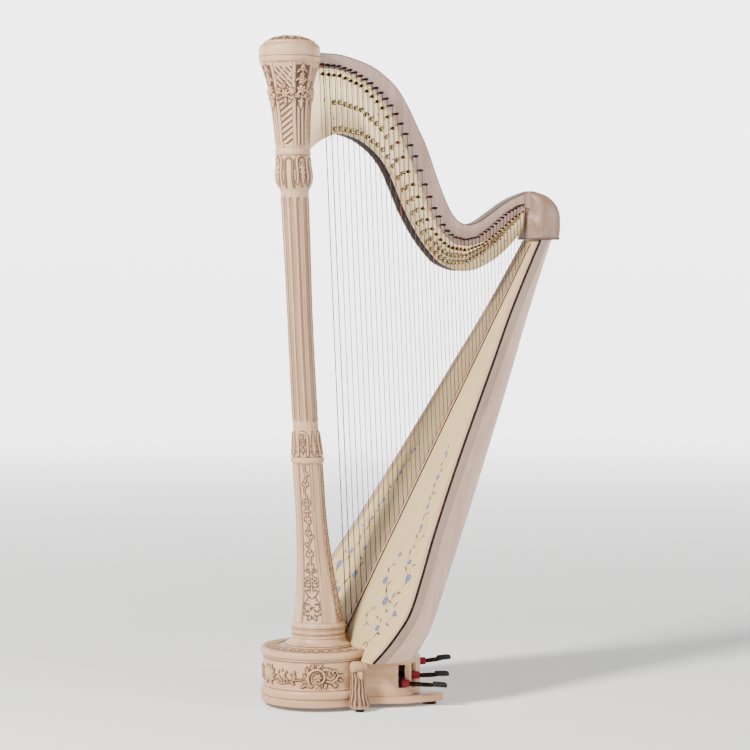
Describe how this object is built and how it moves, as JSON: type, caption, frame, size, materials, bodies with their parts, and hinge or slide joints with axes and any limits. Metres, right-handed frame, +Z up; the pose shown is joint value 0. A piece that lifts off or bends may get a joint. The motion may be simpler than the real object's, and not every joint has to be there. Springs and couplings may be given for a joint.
{
  "type": "concert pedal harp",
  "caption": "Full-size concert pedal harp with carved pale wooden column, curved neck with disc action, strung soundboard, rounded soundbox and a pedal base.",
  "frame": {"origin": "centre of the bounding box in X and Y, on the floor under the feet", "axes": "+Z up, -X column side, +X player's shoulder side, -Y the side of the strings and discs"},
  "size_m": [0.984, 0.558, 1.866],
  "materials": {
    "pale_wood": "bleached maple, satin varnish",
    "soundboard_wood": "spruce veneer with painted flowers, satin varnish",
    "plate": "pale gold lacquered action plate",
    "brass": "polished",
    "steel": "plain",
    "bronze": "dark bronzed pedal with red felt sleeve and black toe",
    "string": "gut, nylon and wound strings on a dark strip",
    "rubber": "matt"
  },
  "bodies": {
    "frame": {"column_socle": "pale_wood", "column_lower": "pale_wood", "column_collar_lower": "pale_wood", "column_shaft": "pale_wood", "column_collar_upper": "pale_wood", "capital": "pale_wood", "crown_cap": "pale_wood", "neck": "pale_wood", "shoulder_block": "pale_wood", "action_plate_left": "plate", "action_plate_right": "plate", "soundbox_shell": "pale_wood", "soundboard": "soundboard_wood", "soundboard_inner_strip": "pale_wood", "soundbox_brace": "pale_wood", "string_band": "string", "base_body": "pale_wood", "base_bottom_board": "pale_wood", "front_foot_left": "pale_wood", "front_foot_right": "pale_wood", "rear_foot_left": "rubber", "rear_foot_right": "rubber", "front_glide": "rubber", "pedal_hinge_rail": "steel", "crank_shaft": "steel"},
    "pedal_D": {"pedal_D": "bronze"},
    "pedal_rod_D": {"pedal_rod_D": "steel"},
    "bell_crank_D": {"bell_crank_D": "steel"},
    "pedal_C": {"pedal_C": "bronze"},
    "pedal_rod_C": {"pedal_rod_C": "steel"},
    "bell_crank_C": {"bell_crank_C": "steel"},
    "pedal_B": {"pedal_B": "bronze"},
    "pedal_rod_B": {"pedal_rod_B": "steel"},
    "bell_crank_B": {"bell_crank_B": "steel"},
    "pedal_E": {"pedal_E": "bronze"},
    "pedal_rod_E": {"pedal_rod_E": "steel"},
    "bell_crank_E": {"bell_crank_E": "steel"},
    "pedal_F": {"pedal_F": "bronze"},
    "pedal_rod_F": {"pedal_rod_F": "steel"},
    "bell_crank_F": {"bell_crank_F": "steel"},
    "pedal_G": {"pedal_G": "bronze"},
    "pedal_rod_G": {"pedal_rod_G": "steel"},
    "bell_crank_G": {"bell_crank_G": "steel"},
    "pedal_A": {"pedal_A": "bronze"},
    "pedal_rod_A": {"pedal_rod_A": "steel"},
    "bell_crank_A": {"bell_crank_A": "steel"},
    "disc_natural_E": {"disc_natural_E": "brass"},
    "disc_sharp_E": {"disc_sharp_E": "brass"},
    "disc_natural_F": {"disc_natural_F": "brass"},
    "disc_sharp_F": {"disc_sharp_F": "brass"},
    "disc_natural_G": {"disc_natural_G": "brass"},
    "disc_sharp_G": {"disc_sharp_G": "brass"},
    "disc_natural_A": {"disc_natural_A": "brass"},
    "disc_sharp_A": {"disc_sharp_A": "brass"},
    "disc_natural_B": {"disc_natural_B": "brass"},
    "disc_sharp_B": {"disc_sharp_B": "brass"},
    "disc_natural_C": {"disc_natural_C": "brass"},
    "disc_sharp_C": {"disc_sharp_C": "brass"},
    "disc_natural_D": {"disc_natural_D": "brass"},
    "disc_sharp_D": {"disc_sharp_D": "brass"}
  },
  "joints": [
    {"name": "pedal_D_press", "type": "hinge", "parent": "frame", "child": "pedal_D", "pos_m": [-0.40575, -0.015, 0.0885], "axis": [0, 1, 0], "range_deg": [-8.7, 0]},
    {"name": "rod_D_slide", "type": "slide", "parent": "frame", "child": "pedal_rod_D", "axis": [-0.0524, 0, 0.9986], "range_m": [0, 0.01349]},
    {"name": "crank_D_turn", "type": "hinge", "parent": "frame", "child": "bell_crank_D", "pos_m": [-0.38775, -0.015, 1.672], "axis": [0, 1, 0], "range_deg": [0, 51.5]},
    {"name": "pedal_C_press", "type": "hinge", "parent": "frame", "child": "pedal_C", "pos_m": [-0.40575, -0.01, 0.0885], "axis": [0, 1, 0], "range_deg": [-4.35, 4.35]},
    {"name": "rod_C_slide", "type": "slide", "parent": "frame", "child": "pedal_rod_C", "axis": [-0.0524, 0, 0.9986], "range_m": [-0.00676, 0.00676]},
    {"name": "crank_C_turn", "type": "hinge", "parent": "frame", "child": "bell_crank_C", "pos_m": [-0.38775, -0.01, 1.672], "axis": [0, 1, 0], "range_deg": [-25.76, 25.76]},
    {"name": "pedal_B_press", "type": "hinge", "parent": "frame", "child": "pedal_B", "pos_m": [-0.40575, -0.005, 0.0885], "axis": [0, 1, 0], "range_deg": [0, 8.7]},
    {"name": "rod_B_slide", "type": "slide", "parent": "frame", "child": "pedal_rod_B", "axis": [-0.0524, 0, 0.9986], "range_m": [-0.01349, 0]},
    {"name": "crank_B_turn", "type": "hinge", "parent": "frame", "child": "bell_crank_B", "pos_m": [-0.38775, -0.005, 1.672], "axis": [0, 1, 0], "range_deg": [-51.5, 0]},
    {"name": "pedal_E_press", "type": "hinge", "parent": "frame", "child": "pedal_E", "pos_m": [-0.40575, 0, 0.0885], "axis": [0, 1, 0], "range_deg": [0, 8.7]},
    {"name": "rod_E_slide", "type": "slide", "parent": "frame", "child": "pedal_rod_E", "axis": [-0.0524, 0, 0.9986], "range_m": [-0.01349, 0]},
    {"name": "crank_E_turn", "type": "hinge", "parent": "frame", "child": "bell_crank_E", "pos_m": [-0.38775, 0, 1.672], "axis": [0, 1, 0], "range_deg": [-51.5, 0]},
    {"name": "pedal_F_press", "type": "hinge", "parent": "frame", "child": "pedal_F", "pos_m": [-0.40575, 0.005, 0.0885], "axis": [0, 1, 0], "range_deg": [0, 8.7]},
    {"name": "rod_F_slide", "type": "slide", "parent": "frame", "child": "pedal_rod_F", "axis": [-0.0524, 0, 0.9986], "range_m": [-0.01349, 0]},
    {"name": "crank_F_turn", "type": "hinge", "parent": "frame", "child": "bell_crank_F", "pos_m": [-0.38775, 0.005, 1.672], "axis": [0, 1, 0], "range_deg": [-51.5, 0]},
    {"name": "pedal_G_press", "type": "hinge", "parent": "frame", "child": "pedal_G", "pos_m": [-0.40575, 0.01, 0.0885], "axis": [0, 1, 0], "range_deg": [0, 8.7]},
    {"name": "rod_G_slide", "type": "slide", "parent": "frame", "child": "pedal_rod_G", "axis": [-0.0524, 0, 0.9986], "range_m": [-0.01349, 0]},
    {"name": "crank_G_turn", "type": "hinge", "parent": "frame", "child": "bell_crank_G", "pos_m": [-0.38775, 0.01, 1.672], "axis": [0, 1, 0], "range_deg": [-51.5, 0]},
    {"name": "pedal_A_press", "type": "hinge", "parent": "frame", "child": "pedal_A", "pos_m": [-0.40575, 0.015, 0.0885], "axis": [0, 1, 0], "range_deg": [0, 8.7]},
    {"name": "rod_A_slide", "type": "slide", "parent": "frame", "child": "pedal_rod_A", "axis": [-0.0524, 0, 0.9986], "range_m": [-0.01349, 0]},
    {"name": "crank_A_turn", "type": "hinge", "parent": "frame", "child": "bell_crank_A", "pos_m": [-0.38775, 0.015, 1.672], "axis": [0, 1, 0], "range_deg": [-51.5, 0]},
    {"name": "natural_E_turn", "type": "hinge", "parent": "frame", "child": "disc_natural_E", "pos_m": [-0.25883, 0, 1.68508], "axis": [0, 1, 0], "range_deg": [0, 64.65]},
    {"name": "sharp_E_turn", "type": "hinge", "parent": "frame", "child": "disc_sharp_E", "pos_m": [-0.25531, 0, 1.61045], "axis": [0, 1, 0], "range_deg": [0, 58.59]},
    {"name": "natural_F_turn", "type": "hinge", "parent": "frame", "child": "disc_natural_F", "pos_m": [-0.24096, 0, 1.68544], "axis": [0, 1, 0], "range_deg": [0, 64.65]},
    {"name": "sharp_F_turn", "type": "hinge", "parent": "frame", "child": "disc_sharp_F", "pos_m": [-0.2375, 0, 1.6123], "axis": [0, 1, 0], "range_deg": [0, 58.59]},
    {"name": "natural_G_turn", "type": "hinge", "parent": "frame", "child": "disc_natural_G", "pos_m": [-0.22309, 0, 1.68092], "axis": [0, 1, 0], "range_deg": [0, 64.65]},
    {"name": "sharp_G_turn", "type": "hinge", "parent": "frame", "child": "disc_sharp_G", "pos_m": [-0.21972, 0, 1.6095], "axis": [0, 1, 0], "range_deg": [0, 58.59]},
    {"name": "natural_A_turn", "type": "hinge", "parent": "frame", "child": "disc_natural_A", "pos_m": [-0.20546, 0, 1.67625], "axis": [0, 1, 0], "range_deg": [0, 64.65]},
    {"name": "sharp_A_turn", "type": "hinge", "parent": "frame", "child": "disc_sharp_A", "pos_m": [-0.20217, 0, 1.60654], "axis": [0, 1, 0], "range_deg": [0, 58.59]},
    {"name": "natural_B_turn", "type": "hinge", "parent": "frame", "child": "disc_natural_B", "pos_m": [-0.18807, 0, 1.67164], "axis": [0, 1, 0], "range_deg": [0, 64.65]},
    {"name": "sharp_B_turn", "type": "hinge", "parent": "frame", "child": "disc_sharp_B", "pos_m": [-0.18486, 0, 1.60363], "axis": [0, 1, 0], "range_deg": [0, 58.59]},
    {"name": "natural_C_turn", "type": "hinge", "parent": "frame", "child": "disc_natural_C", "pos_m": [-0.17089, 0, 1.6668], "axis": [0, 1, 0], "range_deg": [-32.33, 32.33]},
    {"name": "sharp_C_turn", "type": "hinge", "parent": "frame", "child": "disc_sharp_C", "pos_m": [-0.16776, 0, 1.60047], "axis": [0, 1, 0], "range_deg": [-29.3, 29.3]},
    {"name": "natural_D_turn", "type": "hinge", "parent": "frame", "child": "disc_natural_D", "pos_m": [-0.15359, 0, 1.65454], "axis": [0, 1, 0], "range_deg": [-64.65, 0]},
    {"name": "sharp_D_turn", "type": "hinge", "parent": "frame", "child": "disc_sharp_D", "pos_m": [-0.15056, 0, 1.59027], "axis": [0, 1, 0], "range_deg": [-58.59, 0]}
  ],
  "couplings": [
    {"joint": "rod_D_slide", "follows": "pedal_D_press", "m_per_rad": -0.087},
    {"joint": "crank_D_turn", "follows": "pedal_D_press", "ratio": -5.86},
    {"joint": "rod_C_slide", "follows": "pedal_C_press", "m_per_rad": -0.087},
    {"joint": "crank_C_turn", "follows": "pedal_C_press", "ratio": -5.86},
    {"joint": "rod_B_slide", "follows": "pedal_B_press", "m_per_rad": -0.087},
    {"joint": "crank_B_turn", "follows": "pedal_B_press", "ratio": -5.86},
    {"joint": "rod_E_slide", "follows": "pedal_E_press", "m_per_rad": -0.087},
    {"joint": "crank_E_turn", "follows": "pedal_E_press", "ratio": -5.86},
    {"joint": "rod_F_slide", "follows": "pedal_F_press", "m_per_rad": -0.087},
    {"joint": "crank_F_turn", "follows": "pedal_F_press", "ratio": -5.86},
    {"joint": "rod_G_slide", "follows": "pedal_G_press", "m_per_rad": -0.087},
    {"joint": "crank_G_turn", "follows": "pedal_G_press", "ratio": -5.86},
    {"joint": "rod_A_slide", "follows": "pedal_A_press", "m_per_rad": -0.087},
    {"joint": "crank_A_turn", "follows": "pedal_A_press", "ratio": -5.86},
    {"joint": "natural_E_turn", "follows": "pedal_E_press", "ratio": 7.3563},
    {"joint": "sharp_E_turn", "follows": "pedal_E_press", "ratio": 6.6667},
    {"joint": "natural_F_turn", "follows": "pedal_F_press", "ratio": 7.3563},
    {"joint": "sharp_F_turn", "follows": "pedal_F_press", "ratio": 6.6667},
    {"joint": "natural_G_turn", "follows": "pedal_G_press", "ratio": 7.3563},
    {"joint": "sharp_G_turn", "follows": "pedal_G_press", "ratio": 6.6667},
    {"joint": "natural_A_turn", "follows": "pedal_A_press", "ratio": 7.3563},
    {"joint": "sharp_A_turn", "follows": "pedal_A_press", "ratio": 6.6667},
    {"joint": "natural_B_turn", "follows": "pedal_B_press", "ratio": 7.3563},
    {"joint": "sharp_B_turn", "follows": "pedal_B_press", "ratio": 6.6667},
    {"joint": "natural_C_turn", "follows": "pedal_C_press", "ratio": 7.3563},
    {"joint": "sharp_C_turn", "follows": "pedal_C_press", "ratio": 6.6667},
    {"joint": "natural_D_turn", "follows": "pedal_D_press", "ratio": 7.3563},
    {"joint": "sharp_D_turn", "follows": "pedal_D_press", "ratio": 6.6667}
  ]
}
